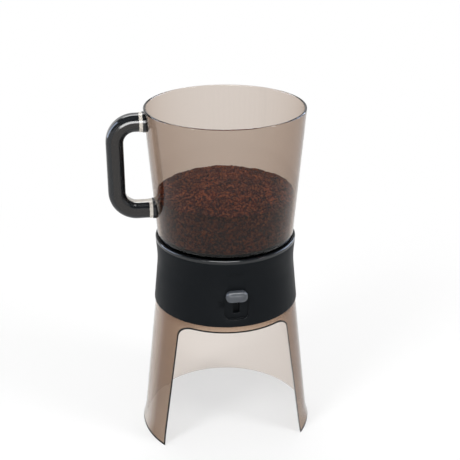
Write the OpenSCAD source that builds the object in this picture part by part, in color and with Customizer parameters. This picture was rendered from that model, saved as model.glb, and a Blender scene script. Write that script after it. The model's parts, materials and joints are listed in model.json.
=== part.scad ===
// Cold brew coffee maker: smoked brewing container with a valve in its base,
// seated on a clear leg stand whose black ring holds the drain switch.
// Millimetres. Origin on the stand axis at floor level, +Z up, switch toward -Y, handle toward -X.

/* [Leg shell] */
// Outer radius of the leg shell at the floor
foot_r = 96; // [90:1:104]
// How far the foot flares past the straight leg line
foot_flare = 1.7; // [0.5:0.1:4]
// Height over which the foot flares
foot_flare_h = 18; // [10:1:40]
// Height of the leg shell up to the ring
leg_h = 155; // [120:1:220]
// Outer radius of the leg shell under the ring
leg_top_r = 77.2; // [76:0.2:80]
// Wall of the leg shell
leg_wall = 3; // [2:0.2:4]
// Height of the neck that goes up inside the ring
neck_h = 8; // [6:0.5:10]
// Width of the arch at the floor
arch_foot_w = 154; // [120:1:165]
// Width of the arch at its top
arch_top_w = 114; // [90:1:125]
// Clear band left above the arch
arch_band = 7; // [5:1:30]
// Corner radius of the arch
arch_corner_r = 14; // [4:1:30]

/* [Ring housing] */
// How far the ring stands out past the leg shell
ring_step = 1.2; // [0.6:0.2:3]
// Radius where the two straight sides of the waist would meet
ring_waist_r = 73.4; // [73:0.1:75]
// Height of the waist above the ring bottom
ring_waist_h = 50; // [44:1:56]
// Radius of the blend at the waist
ring_waist_blend = 130; // [60:5:200]
// Outer radius of the ring at its rim
ring_top_r = 75.3; // [75:0.1:77]
// Wall of the ring
ring_wall = 2.6; // [2:0.1:3]
// Space under the drain tube for the lever and its cover
mech_h = 16.5; // [15:0.5:22]

/* [Drip well] */
// Slope of the lip that the container nests on
lip_angle = 18; // [12:1:25]
// Rounded edge of the rim, in height
rim_edge_h = 3.5; // [3:0.1:5]
// Distance from the rim's outer edge in to its crest
crest_inset = 2.8; // [2:0.1:3.5]
// Wall of the well
well_wall = 2.4; // [2:0.1:3]
// Width of the ledge under the lip
ledge_w = 2.2; // [1:0.1:3]
// Height of the step from the ledge up to the lip
ledge_h = 4.6; // [3:0.1:6]
// Draft of the well wall, radius gained from floor to ledge
well_draft = 1.8; // [0.5:0.1:2.5]
// Depth of the raised cup's top below the seated container
cup_drop = 25; // [20:1:30]
// Thickness of the raised cup's wall
cup_wall = 5; // [4:0.2:6]
// Clearance between the lock collar and the cup
cup_fit = 0.4; // [0.3:0.1:1]
// Width of the two notches in the lip's inner edge
lip_notch_w = 3.4; // [2:0.2:6]

/* [Brewing container] */
// Outer radius of the container at its rim
rim_r = 83.7; // [80:0.5:90]
// Outer radius that the container wall would have at its underside
base_r = 72.6; // [71:0.2:74]
// Height of the container above its underside
body_h = 142; // [130:1:200]
// Wall of the container
body_wall = 2.6; // [2:0.1:3]
// Floor of the container
floor_t = 3; // [2.4:0.1:4]
// Radius of the corner round the underside
corner_r = 7; // [5:0.5:9]
// Outer radius of the lower skirt
skirt_r = 54.7; // [52:0.1:56]
// Height of the lower skirt
skirt_h = 41; // [34:1:44]
// Wall of the lower skirt
skirt_wall = 2.4; // [1.8:0.1:3]
// How far the container lifts in use
lift_h = 76; // [60:1:120]

/* [Drain and valve] */
// Outer radius of the drain tube
tube_r = 28.4; // [27.5:0.1:28.8]
// Wall of the drain tube
tube_wall = 3; // [2.4:0.1:3.4]
// How far the drain tube reaches below the container
tube_drop = 56.5; // [54:0.5:64]
// Outer radius of the lock collar
collar_r = 35.7; // [34.5:0.1:37]
// How far the lock collar reaches below the container
collar_drop = 44; // [40:1:48]
// Wall of the lock collar
collar_wall = 2.4; // [2:0.1:2.8]
// Radius of the flange on top of the drain tube
tube_flange_r = 36; // [34:0.5:40]
// Thickness of the silicone floor gasket
gasket_t = 1.2; // [0.8:0.1:2]
// Radius of the valve port
port_r = 10; // [8:0.5:12]
// Radius of the silicone valve plug
plug_r = 13.5; // [13:0.5:17]
// Height of the valve plug
plug_h = 5; // [4:0.5:6]
// Depth of the valve seat below the container
valve_drop = 26; // [24:1:28]
// Radius of the lower valve stem
stem_r = 4.2; // [3.5:0.1:5]
// Wire radius of the valve spring
spring_wire_r = 0.6; // [0.4:0.1:0.9]
// Coil radius of the valve spring
spring_coil_r = 3.8; // [3.8:0.1:4.4]

/* [Switch and lever] */
// Travel of the switch from closed to open
switch_travel = 12; // [8:0.5:12]
// Width of the knob
knob_w = 22.8; // [18:0.2:23]
// Height of the knob
knob_h = 12.6; // [12:0.1:14]
// How far the knob stands off its track
knob_d = 6.5; // [6:0.5:9]
// Height of the closed knob above the ring bottom
knob_z = 35; // [34.8:0.1:37]
// Width of the slot that the knob slides in
slot_w = 7.2; // [6:0.2:8]
// Length of slot left open below the knob's travel
slot_spare = 3; // [0:0.2:3]
// Height of the neck that carries the knob
neck_tall = 10; // [9:0.5:11]
// Width of the thumb recess at its bottom
recess_w = 25.6; // [25:0.2:27]
// Width of the thumb recess at its top
recess_top_w = 14.4; // [10:0.2:18]
// Height of the thumb recess's bottom above the ring bottom
recess_z = 8.6; // [8.5:0.1:12]
// Height of the thumb recess
recess_h = 50.5; // [46:0.5:52]
// Depth of the thumb recess at its bottom
recess_depth = 3.1; // [2:0.1:4]
// Thickness of the slider plate
slider_t = 3; // [2:0.2:3.2]
// Width of the slider plate
slider_w = 16; // [15:0.2:17]
// Width of the lever
lever_w = 8; // [7:0.2:9]
// Radius of the lever and switch pins
pin_r = 1.5; // [1.2:0.1:1.8]
// Radius of the plunger body
plunger_r = 7; // [5:0.2:8]
// Radius of the plunger's lifting flange
plunger_flange_r = 12; // [10.5:0.5:12.5]
// Height that the closed plunger reaches into the drain tube
plunger_rise = 23.5; // [20:0.5:23.5]
// Depth of the lever's pivot below the drain tube
pivot_drop = 7; // [6.5:0.1:7.5]
// Radius of the hub that guides the plunger
guide_hub_r = 6; // [5:0.2:7]

/* [Funnel and cover] */
// Inner radius of the lever chamber
chamber_r = 24; // [22:0.5:24.5]
// Inner radius of the spout
spout_r = 13; // [12.9:0.1:14]
// Wall of the funnel
funnel_wall = 2.4; // [2:0.1:2.8]
// How far the spout reaches below the ring
spout_drop = 12; // [10:0.5:16]
// Thickness of the bottom cover
cover_t = 2.5; // [2:0.1:3]
// Radius on which the cover screws stand
cover_screw_ring = 52; // [48:1:56]
// Radius on which the funnel screws stand
funnel_screw_ring = 38.4; // [38.2:0.1:38.8]
// Grip of the cover screws in the well's bosses
cover_grip = 12; // [8:1:16]
// Grip of the funnel screws in the cup's wall
funnel_grip = 9; // [6:1:12]

/* [Filter and coffee] */
// Outer radius of the filter frame
filter_r = 62.5; // [58:0.5:63]
// Height of the filter frame
filter_h = 7.5; // [7:0.1:9]
// Thickness of the steel mesh
mesh_t = 0.6; // [0.4:0.1:1]
// Number of spokes under the mesh
spokes = 8; // [6:1:10]
// Height of the coffee at the wall, above the container floor
coffee_edge_h = 50; // [30:1:70]
// Height that the coffee heaps above its edge
coffee_heap_h = 19; // [8:1:24]

/* [Handle] */
// Reach of the handle from the axis
handle_reach = 123; // [116:0.5:130]
// Thickness of the handle seen from the side
handle_t = 18; // [16:0.2:20]
// Width of the handle
handle_w = 20; // [18:0.2:24]
// Corner radius of the handle loop along its middle
handle_bend_r = 21; // [18:0.5:24]
// Depth of the upper arm's middle below the rim
handle_top_drop = 13.5; // [12:0.5:20]
// Distance between the two arms, middle to middle
handle_span = 94.5; // [80:0.5:100]
// Height of the side panels in the handle
panel_h = 7.4; // [5:0.2:8]
// Length of the collars at the ends of the handle
handle_collar_l = 3.5; // [2.5:0.1:5]

/* [Hidden] */
$fn = 96;

// Clearances: pressed together, running on a pin, sliding, and free of one another
press_gap = 0.1;
pin_gap = 0.06;
slide_gap = 0.3;
free_gap = 0.6;
cut = 1; // how far a cutting body runs past the face it cuts

// Heights, from the leg shell upward
tube_bottom_z = leg_h + mech_h;
seat_z = tube_bottom_z + tube_drop;
body_top_z = seat_z + body_h;
floor_z = seat_z + floor_t;
wall_slope = (rim_r - base_r) / body_h;
corner_flat_r = base_r - corner_r / tan((90 + atan(wall_slope)) / 2);

// Drip well
floor_r = skirt_r + 4.7;
ledge_r = floor_r + well_draft;
lip_in_r = ledge_r + ledge_w;
lip_z = seat_z + corner_r
    - (corner_r + slide_gap + (corner_flat_r - lip_in_r) * sin(lip_angle)) / cos(lip_angle);
lip_crest_r = ring_top_r - crest_inset;
rim_z = lip_z + (lip_crest_r - lip_in_r) * tan(lip_angle);
ring_top_z = rim_z - rim_edge_h;
ledge_z = lip_z - ledge_h;
well_floor_z = seat_z - skirt_h - 5;
cup_in_r = collar_r + cup_fit;
cup_out_r = cup_in_r + cup_wall;
notch_depth = 1.4;
cup_top_z = seat_z - cup_drop;
cup_step_z = cup_top_z - 15;
cup_low_r = cup_in_r - 1.6;
cup_floor_z = seat_z - collar_drop - 2.2;
throat_r = tube_r + 2.2;
well_under_z = well_floor_z - well_wall;
cup_under_z = min(cup_floor_z - well_wall, well_under_z - 1);

// Ring housing
ring_bottom_r = leg_top_r + ring_step;
waist_z = leg_h + ring_waist_h;
neck_top_z = leg_h + neck_h;
neck_r = ring_side_r(neck_top_z) - ring_wall - press_gap * 2;
neck_in_r = neck_r - leg_wall;
shelf_t = 2.5;

// Bottom cover, clamped against a flange inside the leg shell
cover_top_z = leg_h - 0.5;
cover_r = neck_in_r - slide_gap;
flange_t = 3;
flange_in_r = neck_in_r - 5.8;
boss_r = 4;
screw_r = 1.25;
screw_hole_r = screw_r + pin_gap;
screw_head_r = 2.6;
screw_head_h = 1.8;

// Funnel under the well
shoulder_top_z = tube_bottom_z - 0.8;
shoulder_z = shoulder_top_z - 1.8;
chamber_z = leg_h + 2;
cone_z = chamber_z - 5.5;
spout_z = leg_h - spout_drop;
funnel_flange_t = 2.5;
funnel_flange_r = cup_out_r + 0.4;

// Lever: a pin between lugs on the funnel, a slot for the switch pin, a fork under the plunger
pivot_y = -(chamber_r + funnel_wall + 4.6);
pivot_z = tube_bottom_z - pivot_drop;
lever_half_h = 2.6;
lug_t = 3;
slider_lug_w = 2;
lug_in = lever_w / 2 + slide_gap;
slider_face = ring_waist_r - 2.9;
slider_back = slider_face - slide_gap - slider_t;
switch_pin_y = -(slider_back - 2.7);
outer_arm = pivot_y - switch_pin_y;
lever_angle = atan(switch_travel / 2 / outer_arm);
toe_y = -7.5;
inner_arm = toe_y - pivot_y;
toe_r = 2.2;
fork_gap = 4.8;
fork_w = 4.2;
fork_start = -pivot_y - sqrt(pow(chamber_r - 2 * free_gap, 2) - pow(fork_gap + fork_w, 2));
slot_half = pin_r + slide_gap;
lever_lift = 2 * inner_arm * sin(lever_angle);

// Plunger and valve
plunger_stem_r = 3.5;
flange_under_z = pivot_z - inner_arm * sin(lever_angle) + toe_r + slide_gap;
plunger_top_z = tube_bottom_z + plunger_rise;
guide_top_z = leg_h + 0.5;
guide_bottom_z = spout_z + 2;
guide_ring_h = 4;
rib_w = 2;
port_top_z = seat_z - valve_drop;
port_t = 3;
plug_z = port_top_z + press_gap;
tube_in_r = tube_r - tube_wall;
valve_guide_z = port_top_z + plug_h + lever_lift + 2;
valve_guide_t = 3.5;
valve_hub_r = spring_coil_r + spring_wire_r + 0.2;
upper_stem_r = 2;
tube_flange_z = floor_z + gasket_t;
tube_flange_t = 2;

// Switch
slot_bottom_z = leg_h + knob_z - neck_tall / 2 - switch_travel - slide_gap - slot_spare;
slot_top_z = leg_h + knob_z + neck_tall / 2 + slide_gap;
plate_bottom_z = slot_bottom_z - 1.3;
plate_top_z = slot_top_z + switch_travel + 1;
rail_t = 2;
rail_lip = 1.2;
knob_back = ring_waist_r + 1.8;
switch_pin_z = pivot_z + switch_travel / 2;

// Filter
mesh_z = floor_z + filter_h - 2.5;
filter_top_z = floor_z + press_gap + filter_h;
spoke_t = 1.5;
mesh_r = filter_r - 4;

// Handle
handle_x = -(handle_reach - handle_t / 2);
handle_top_z = body_top_z - handle_top_drop;
handle_low_z = handle_top_z - handle_span;
boss_l = 2.4;
join = 0.02; // overlap that makes two lengths of one piece a single solid

// Straight side of the ring below its waist, as a radius at height z
function ring_side_r(z) =
    ring_bottom_r + (ring_waist_r - ring_bottom_r) * (z - leg_h) / ring_waist_h;

// Outer radius of the leg shell at height z
function leg_r(z) =
    leg_top_r + (foot_r - foot_flare - leg_top_r) * (1 - z / leg_h)
    + foot_flare * pow(max(0, 1 - z / foot_flare_h), 2);

// Outer radius of the container wall at height z
function body_r(z) = base_r + wall_slope * (z - seat_z);

function unit(v) = v / norm(v);
function flat2(p) = [p[0], p[1]];

// Corner p between its neighbours a and b, rounded to radius r where the sides are long enough
function corner(a, p, b, r, steps = 5) =
    is_undef(r) || r <= 0 ? [p] :
    let (
        u = unit(a - p),
        v = unit(b - p),
        half = acos(max(-1, min(1, u * v))) / 2,
        fit = min(r, 0.48 * min(norm(a - p), norm(b - p)) * tan(half)),
        c = p + unit(u + v) * fit / sin(half),
        s = p + u * fit / tan(half) - c,
        e = p + v * fit / tan(half) - c,
        start = atan2(s[1], s[0]),
        sweep = atan2(e[1], e[0]) - start,
        turn = sweep > 180 ? sweep - 360 : sweep < -180 ? sweep + 360 : sweep
    )
    [for (i = [0:steps]) c + fit * [cos(start + turn * i / steps), sin(start + turn * i / steps)]];

// Outline from points [x, y, radius], each corner rounded to its own radius
function rounded(p) =
    let (n = len(p))
    [for (i = [0:n - 1])
        each corner(flat2(p[(i + n - 1) % n]), flat2(p[i]), flat2(p[(i + 1) % n]), p[i][2])];

module revolve(points) {
    rotate_extrude($fn = 128) polygon(rounded(points));
}

// Outline drawn in X and Z, cut through from y_front to y_back
module front_prism(points, y_front, y_back) {
    translate([0, y_back, 0])
        rotate([90, 0, 0])
            linear_extrude(y_back - y_front) polygon(rounded(points));
}

// Cylinder along X, centred on the YZ position
module cross_pin(y, z, r, length) {
    translate([-length / 2, y, z]) rotate([0, 90, 0]) cylinder(r = r, h = length);
}

// Box given by its two opposite corners
module block(low, high) {
    translate(low) cube(high - low);
}

module leg_shell() {
    steps = [for (i = [0:5]) foot_flare_h * i / 5];
    inner_top_z = leg_h - arch_band - 2;
    color([0.45, 0.38, 0.33, 0.5]) difference() {
        revolve(concat(
            [for (z = steps) [leg_r(z), z]],
            [
                [leg_top_r, leg_h],
                [neck_r, leg_h],
                [neck_r, neck_top_z, 0.4],
                [neck_in_r, neck_top_z, 0.4],
                [neck_in_r, cover_top_z + flange_t],
                [flange_in_r, cover_top_z + flange_t, 0.5],
                [flange_in_r, cover_top_z, 0.5],
                [neck_in_r, cover_top_z],
                [neck_in_r, cover_top_z - cover_t - 0.5],
                [leg_r(inner_top_z) - leg_wall, inner_top_z]
            ],
            [for (i = [5:-1:0]) [leg_r(steps[i]) - leg_wall, steps[i]]]
        ));
        front_prism([
            [-arch_foot_w / 2 - arch_slope() * cut, -cut],
            [-arch_top_w / 2, leg_h - arch_band, arch_corner_r],
            [arch_top_w / 2, leg_h - arch_band, arch_corner_r],
            [arch_foot_w / 2 + arch_slope() * cut, -cut]
        ], -foot_r - cut, 0);
        // notch in the flange that the slider passes through
        block([-slider_w / 2 - cut, -neck_in_r, cover_top_z - cut / 2],
              [slider_w / 2 + cut, -flange_in_r + 2 * cut, cover_top_z + flange_t + cut]);
    }
}

// Side slope of the arch, width gained per unit of height going down, on each side
function arch_slope() = (arch_foot_w - arch_top_w) / 2 / (leg_h - arch_band);

module ring_solid() {
    revolve([
        [0, leg_h],
        [ring_bottom_r, leg_h, 0.8],
        [ring_waist_r, waist_z, ring_waist_blend],
        [ring_top_r, ring_top_z],
        [0, ring_top_z]
    ]);
}

// Thumb recess: its floor leans from just under the surface at the top to full depth at the bottom
module thumb_recess() {
    bottom_z = leg_h + recess_z;
    top_z = bottom_z + recess_h;
    wide_top_z = top_z - 15;
    floor_low = ring_side_r(bottom_z) - recess_depth;
    floor_high = ring_waist_r - 0.3;
    intersection() {
        front_prism([
            [-recess_w / 2, bottom_z, 6],
            [recess_w / 2, bottom_z, 6],
            [recess_w / 2, wide_top_z, 8],
            [recess_top_w / 2, top_z, 4],
            [-recess_top_w / 2, top_z, 4],
            [-recess_w / 2, wide_top_z, 8]
        ], -ring_bottom_r - 10, -slider_face);
        rotate([90, 0, 90]) translate([0, 0, -recess_w])
            linear_extrude(2 * recess_w)
                polygon([
                    [-floor_low, bottom_z - cut],
                    [-floor_high, top_z + cut],
                    [-ring_bottom_r - 10, top_z + cut],
                    [-ring_bottom_r - 10, bottom_z - cut]
                ]);
    }
}

// Rail beside the slider with a lip that holds the plate to the pad, on one side
module slider_rail(side) {
    inner = slider_w / 2 + slide_gap;
    bottom_z = neck_top_z + shelf_t;
    top_z = min(plate_top_z + 2, ledge_z - 4);
    mirror([side < 0 ? 1 : 0, 0, 0]) {
        block([inner, -slider_face - cut, bottom_z], [inner + rail_t, -slider_back + 1.7, top_z]);
        block([inner - rail_lip, -slider_back + slide_gap, bottom_z], [inner + rail_t, -slider_back + 1.7, top_z]);
    }
}

module ring_housing() {
    shelf_top_z = neck_top_z + shelf_t;
    pad_w = recess_w + 4;
    color([0.07, 0.08, 0.09]) difference() {
        union() {
            revolve([
                [ring_bottom_r - ring_wall, leg_h, 0.4],
                [ring_bottom_r, leg_h, 0.8],
                [ring_waist_r, waist_z, ring_waist_blend],
                [ring_top_r, ring_top_z],
                [ring_top_r - ring_wall, ring_top_z],
                [ring_waist_r - ring_wall, waist_z, ring_waist_blend + ring_wall],
                [ring_side_r(shelf_top_z) - ring_wall, shelf_top_z],
                [neck_in_r, shelf_top_z],
                [neck_in_r, neck_top_z],
                [ring_side_r(neck_top_z) - ring_wall, neck_top_z]
            ]);
            // flat pad behind the thumb recess, on which the slider runs
            intersection() {
                ring_solid();
                block([-pad_w / 2, -ring_bottom_r - cut, shelf_top_z - shelf_t],
                      [pad_w / 2, -slider_face, ring_top_z - 8]);
            }
            slider_rail(1);
            slider_rail(-1);
        }
        thumb_recess();
        block([-slot_w / 2, -ring_bottom_r - cut, slot_bottom_z], [slot_w / 2, -slider_face + cut, slot_top_z]);
    }
}

module drip_well() {
    spigot_h = 4.5;
    spigot_z = ring_top_z - spigot_h;
    spigot_r = ring_top_r - ring_wall - press_gap
        - spigot_h * (ring_top_r - ring_waist_r) / (ring_top_z - waist_z);
    under_lip = well_wall / cos(lip_angle);
    color([0.05, 0.055, 0.06]) difference() {
        union() {
            revolve([
                [ring_top_r, ring_top_z],
                [ring_top_r, rim_z, 3],
                [lip_crest_r, rim_z, 1.5],
                [lip_in_r, lip_z, 0.5],
                [lip_in_r - 0.4, ledge_z],
                [ledge_r, ledge_z, 0.4],
                [floor_r, well_floor_z, 4],
                [cup_out_r, well_floor_z, 2],
                [cup_out_r, cup_top_z, 2.2],
                [cup_in_r, cup_top_z, 1.4],
                [cup_in_r, cup_step_z],
                [cup_low_r, cup_step_z - 1.6],
                [cup_low_r, cup_floor_z, 1.5],
                [throat_r, cup_floor_z],
                [throat_r, cup_under_z],
                [cup_out_r + 2, cup_under_z],
                [cup_out_r + 2, well_under_z, 1],
                [floor_r + well_wall, well_under_z, 5],
                [ledge_r + well_wall, ledge_z - well_wall],
                [lip_in_r + well_wall, lip_z - under_lip, 1],
                [spigot_r - 2.5, lip_z - under_lip + (spigot_r - 2.5 - lip_in_r) * tan(lip_angle)],
                [spigot_r - 2.5, spigot_z, 0.5],
                [spigot_r, spigot_z, 0.5],
                [spigot_r, ring_top_z]
            ]);
            for (a = [45:90:315]) rotate([0, 0, a]) translate([cover_screw_ring, 0, cover_top_z])
                cylinder(r = boss_r, h = well_floor_z - well_wall / 2 - cover_top_z);
        }
        for (a = [45:90:315]) rotate([0, 0, a]) translate([cover_screw_ring, 0, cover_top_z - cut])
            cylinder(r = screw_hole_r, h = cover_grip + 2 + cut);
        for (a = [90:120:330]) rotate([0, 0, a]) translate([funnel_screw_ring, 0, cup_under_z - cut])
            cylinder(r = screw_hole_r, h = funnel_grip + 1 + cut);
        for (side = [0, 180]) rotate([0, 0, side])
            block([ledge_r, -lip_notch_w / 2, ledge_z], [lip_in_r + notch_depth, lip_notch_w / 2, lip_z + cut]);
    }
}

module drain_funnel() {
    flange_z = cup_under_z - funnel_flange_t;
    lug_reach = -pivot_y + 4.2;
    color([0.09, 0.09, 0.1]) difference() {
        union() {
            revolve([
                [throat_r, cup_under_z],
                [funnel_flange_r, cup_under_z],
                [funnel_flange_r, flange_z, 0.6],
                [throat_r + funnel_wall, flange_z],
                [throat_r + funnel_wall, shoulder_z, 0.8],
                [chamber_r + funnel_wall, shoulder_z],
                [chamber_r + funnel_wall, chamber_z, 1.5],
                [spout_r + funnel_wall, cone_z, 1.5],
                [spout_r + funnel_wall, spout_z, 0.6],
                [spout_r, spout_z, 0.6],
                [spout_r, cone_z + 1, 1],
                [chamber_r, chamber_z + 1, 1.5],
                [chamber_r, shoulder_top_z],
                [throat_r, shoulder_top_z]
            ]);
            for (side = [-1, 1]) {
                block([side > 0 ? lug_in : -lug_in - lug_t, pivot_y, pivot_z - 4.2],
                      [side > 0 ? lug_in + lug_t : -lug_in, -chamber_r - funnel_wall / 2, shoulder_z + 0.5]);
                translate([side * (lug_in + lug_t / 2), 0, 0]) cross_pin(pivot_y, pivot_z, 4.2, lug_t);
            }
        }
        cross_pin(pivot_y, pivot_z, pin_r + press_gap / 2, 4 * lug_t + lever_w);
        // window that the lever passes through
        block([-lug_in, -chamber_r - funnel_wall - cut, pivot_z - 5.4], [lug_in, -chamber_r + 2 * cut, shoulder_z - press_gap]);
        for (a = [90:120:330]) rotate([0, 0, a]) translate([funnel_screw_ring, 0, flange_z - cut])
            cylinder(r = screw_hole_r, h = funnel_flange_t + 2 * cut);
    }
}

// Pan head screw pointing up, with its head's top face at height 0
module screw(length) {
    cylinder(r = screw_r, h = length);
    difference() {
        translate([0, 0, -screw_head_h]) cylinder(r = screw_head_r, h = screw_head_h);
        for (a = [0, 90]) rotate([0, 0, a])
            translate([-screw_head_r * 0.6, -0.35, -screw_head_h - cut]) cube([screw_head_r * 1.2, 0.7, cut + 0.9]);
    }
}

module funnel_screws() {
    color([0.7, 0.71, 0.73]) for (a = [90:120:330]) rotate([0, 0, a])
        translate([funnel_screw_ring, 0, cup_under_z - funnel_flange_t]) screw(funnel_flange_t + funnel_grip);
}

module bottom_cover() {
    hole_r = chamber_r + funnel_wall + 1;
    bottom_z = cover_top_z - cover_t;
    color([0.08, 0.08, 0.09]) difference() {
        revolve([
            [hole_r, bottom_z, 0.5],
            [cover_r, bottom_z, 0.8],
            [cover_r, cover_top_z],
            [hole_r + 2, cover_top_z],
            [hole_r + 2, cover_top_z + 2.5],
            [hole_r, cover_top_z + 2.5]
        ]);
        for (a = [45:90:315]) rotate([0, 0, a]) translate([cover_screw_ring, 0, bottom_z - cut])
            cylinder(r = screw_hole_r, h = cover_t + 2 * cut);
    }
}

module cover_screws() {
    color([0.7, 0.71, 0.73]) for (a = [45:90:315]) rotate([0, 0, a])
        translate([cover_screw_ring, 0, cover_top_z - cover_t]) screw(cover_t + cover_grip);
}

// Thin ring held round a hub by three ribs
module spoked_ring(hub_r, ring_r, height) {
    difference() {
        cylinder(r = ring_r, h = height);
        translate([0, 0, -cut]) cylinder(r = ring_r - rib_w, h = height + 2 * cut);
    }
    for (a = [90:120:330]) rotate([0, 0, a])
        translate([hub_r - rib_w / 2, -rib_w / 2, 0]) cube([ring_r - hub_r, rib_w, height]);
}

module plunger_guide() {
    ring_r = spout_r - press_gap;
    color([0.1, 0.1, 0.11]) difference() {
        union() {
            translate([0, 0, guide_bottom_z]) cylinder(r = guide_hub_r, h = guide_top_z - guide_bottom_z);
            translate([0, 0, guide_bottom_z]) spoked_ring(guide_hub_r, ring_r, guide_ring_h);
        }
        translate([0, 0, guide_bottom_z - cut])
            cylinder(r = plunger_stem_r + pin_gap, h = guide_top_z - guide_bottom_z + 2 * cut);
    }
}

module lever_pin() {
    color([0.75, 0.76, 0.78]) cross_pin(pivot_y, pivot_z, pin_r, lever_w + 2 * (slide_gap + lug_t) + 1);
}

// Lever drawn level about its pivot, then set at its closed angle
module rocker_lever() {
    end_y = -outer_arm - 2.2;
    arm_z = 0.4;
    jaw_t = 1.4;
    bar_end = inner_arm - fork_gap - 3;
    color([0.82, 0.8, 0.74]) translate([0, pivot_y, pivot_z]) rotate([-lever_angle, 0, 0]) difference() {
        union() {
            cross_pin(0, 0, 3.8, lever_w);
            block([-lever_w / 2, end_y, -lever_half_h], [lever_w / 2, fork_start, lever_half_h]);
            block([-lever_w / 2, fork_start - join, -toe_r], [lever_w / 2, bar_end, arm_z]);
            block([-lever_w / 2, end_y, -slot_half - jaw_t], [lever_w / 2, -outer_arm + 6, slot_half + jaw_t]);
            block([-fork_gap - fork_w, fork_start, -toe_r], [fork_gap + fork_w, bar_end, arm_z]);
            for (side = [-1, 1]) translate([side * (fork_gap + fork_w / 2), 0, 0]) {
                block([-fork_w / 2, bar_end - join, -toe_r], [fork_w / 2, inner_arm, arm_z]);
                cross_pin(inner_arm, 0, toe_r, fork_w);
            }
        }
        cross_pin(0, 0, pin_r + pin_gap, lever_w + 2 * cut);
        block([-lever_w, end_y - cut, -slot_half], [lever_w, -outer_arm + 4, slot_half]);
    }
}

module plunger() {
    color([0.12, 0.12, 0.13]) revolve([
        [0, spout_z - 1],
        [plunger_stem_r, spout_z - 1, 0.8],
        [plunger_stem_r, flange_under_z],
        [plunger_flange_r, flange_under_z, 0.5],
        [plunger_flange_r, flange_under_z + 2.2, 0.5],
        [plunger_r - 1.5, flange_under_z + 4.5, 1.5],
        [plunger_r - 1.5, plunger_top_z - 7, 1],
        [plunger_r, plunger_top_z - 5.5, 0.5],
        [plunger_r, plunger_top_z, 2.5],
        [0, plunger_top_z]
    ]);
}

module switch_slider() {
    plate_front = -(slider_face - slide_gap);
    color([0.12, 0.12, 0.13]) difference() {
        union() {
            block([-slider_w / 2, plate_front, plate_bottom_z], [slider_w / 2, -slider_back, plate_top_z]);
            block([-slot_w / 2 + slide_gap, -knob_back - 3.2, slot_top_z - slide_gap - neck_tall],
                  [slot_w / 2 - slide_gap, plate_front + cut, slot_top_z - slide_gap]);
            for (side = [0, 1]) mirror([side, 0, 0]) {
                block([lug_in, -slider_back - cut, switch_pin_z - 2.3], [lug_in + slider_lug_w, switch_pin_y, plate_bottom_z + 8]);
                block([lug_in, switch_pin_y - cut, switch_pin_z],
                      [lug_in + slider_lug_w, switch_pin_y + 2.3, max(plate_bottom_z + 4, switch_pin_z + 1.4)]);
                translate([lug_in + slider_lug_w / 2, 0, 0]) cross_pin(switch_pin_y, switch_pin_z, 2.3, slider_lug_w);
            }
        }
        cross_pin(switch_pin_y, switch_pin_z, pin_r + press_gap / 2, 2 * slider_w);
    }
}

module switch_pin() {
    color([0.75, 0.76, 0.78])
        cross_pin(switch_pin_y, switch_pin_z, pin_r, 2 * (lug_in + slider_lug_w));
}

// Pebble, flat at the back and domed towards the front, with a pocket for the slider's neck
module switch_knob() {
    round_r = 5.8;
    back_d = 2.4;
    color([0.38, 0.41, 0.45]) translate([0, -knob_back, leg_h + knob_z]) difference() {
        hull() {
            for (x = [-1, 1], z = [-1, 1]) translate([x * (knob_w / 2 - round_r), 0, z * (knob_h / 2 - round_r)]) {
                rotate([90, 0, 0]) cylinder(r = round_r, h = back_d, $fn = 48);
                translate([0, -back_d, 0]) scale([1, (knob_d - back_d) / round_r, 1]) sphere(r = round_r, $fn = 48);
            }
        }
        block([-knob_w, 0, -knob_h], [knob_w, knob_d, knob_h]);
        block([-slot_w / 2 + slide_gap - press_gap, -3.2 - press_gap, -neck_tall / 2 - press_gap],
              [slot_w / 2 - slide_gap + press_gap, cut, neck_tall / 2 + press_gap]);
    }
}

module brew_container() {
    color([0.42, 0.36, 0.32, 0.5]) revolve([
        [tube_r + press_gap, seat_z],
        [base_r, seat_z, corner_r],
        [rim_r, body_top_z, 1.3],
        [rim_r - body_wall, body_top_z, 1.1],
        [base_r - body_wall, floor_z, corner_r - body_wall],
        [tube_r + press_gap, floor_z]
    ]);
}

module lower_skirt() {
    color([0.75, 0.72, 0.69, 0.5]) revolve([
        [skirt_r - skirt_wall, seat_z],
        [skirt_r, seat_z],
        [skirt_r - 0.5, seat_z - skirt_h, 1],
        [skirt_r - 0.5 - skirt_wall, seat_z - skirt_h, 1]
    ]);
}

module drain_tube() {
    color([0.07, 0.08, 0.09]) revolve([
        [port_r, port_top_z - port_t, 0.6],
        [tube_in_r, port_top_z - port_t, 1],
        [tube_in_r, tube_bottom_z, 0.8],
        [tube_r, tube_bottom_z, 0.8],
        [tube_r, tube_flange_z],
        [tube_flange_r, tube_flange_z, 0.4],
        [tube_flange_r, tube_flange_z + tube_flange_t, 0.6],
        [tube_in_r, tube_flange_z + tube_flange_t, 1.2],
        [tube_in_r, port_top_z + 1, 0.6],
        [plug_r + 3, port_top_z],
        [port_r, port_top_z, 0.6]
    ]);
}

module floor_gasket() {
    color([0.55, 0.56, 0.57]) revolve([
        [tube_r + press_gap, floor_z],
        [tube_flange_r - 0.4, floor_z],
        [tube_flange_r - 0.4, tube_flange_z],
        [tube_r + press_gap, tube_flange_z]
    ]);
}

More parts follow.
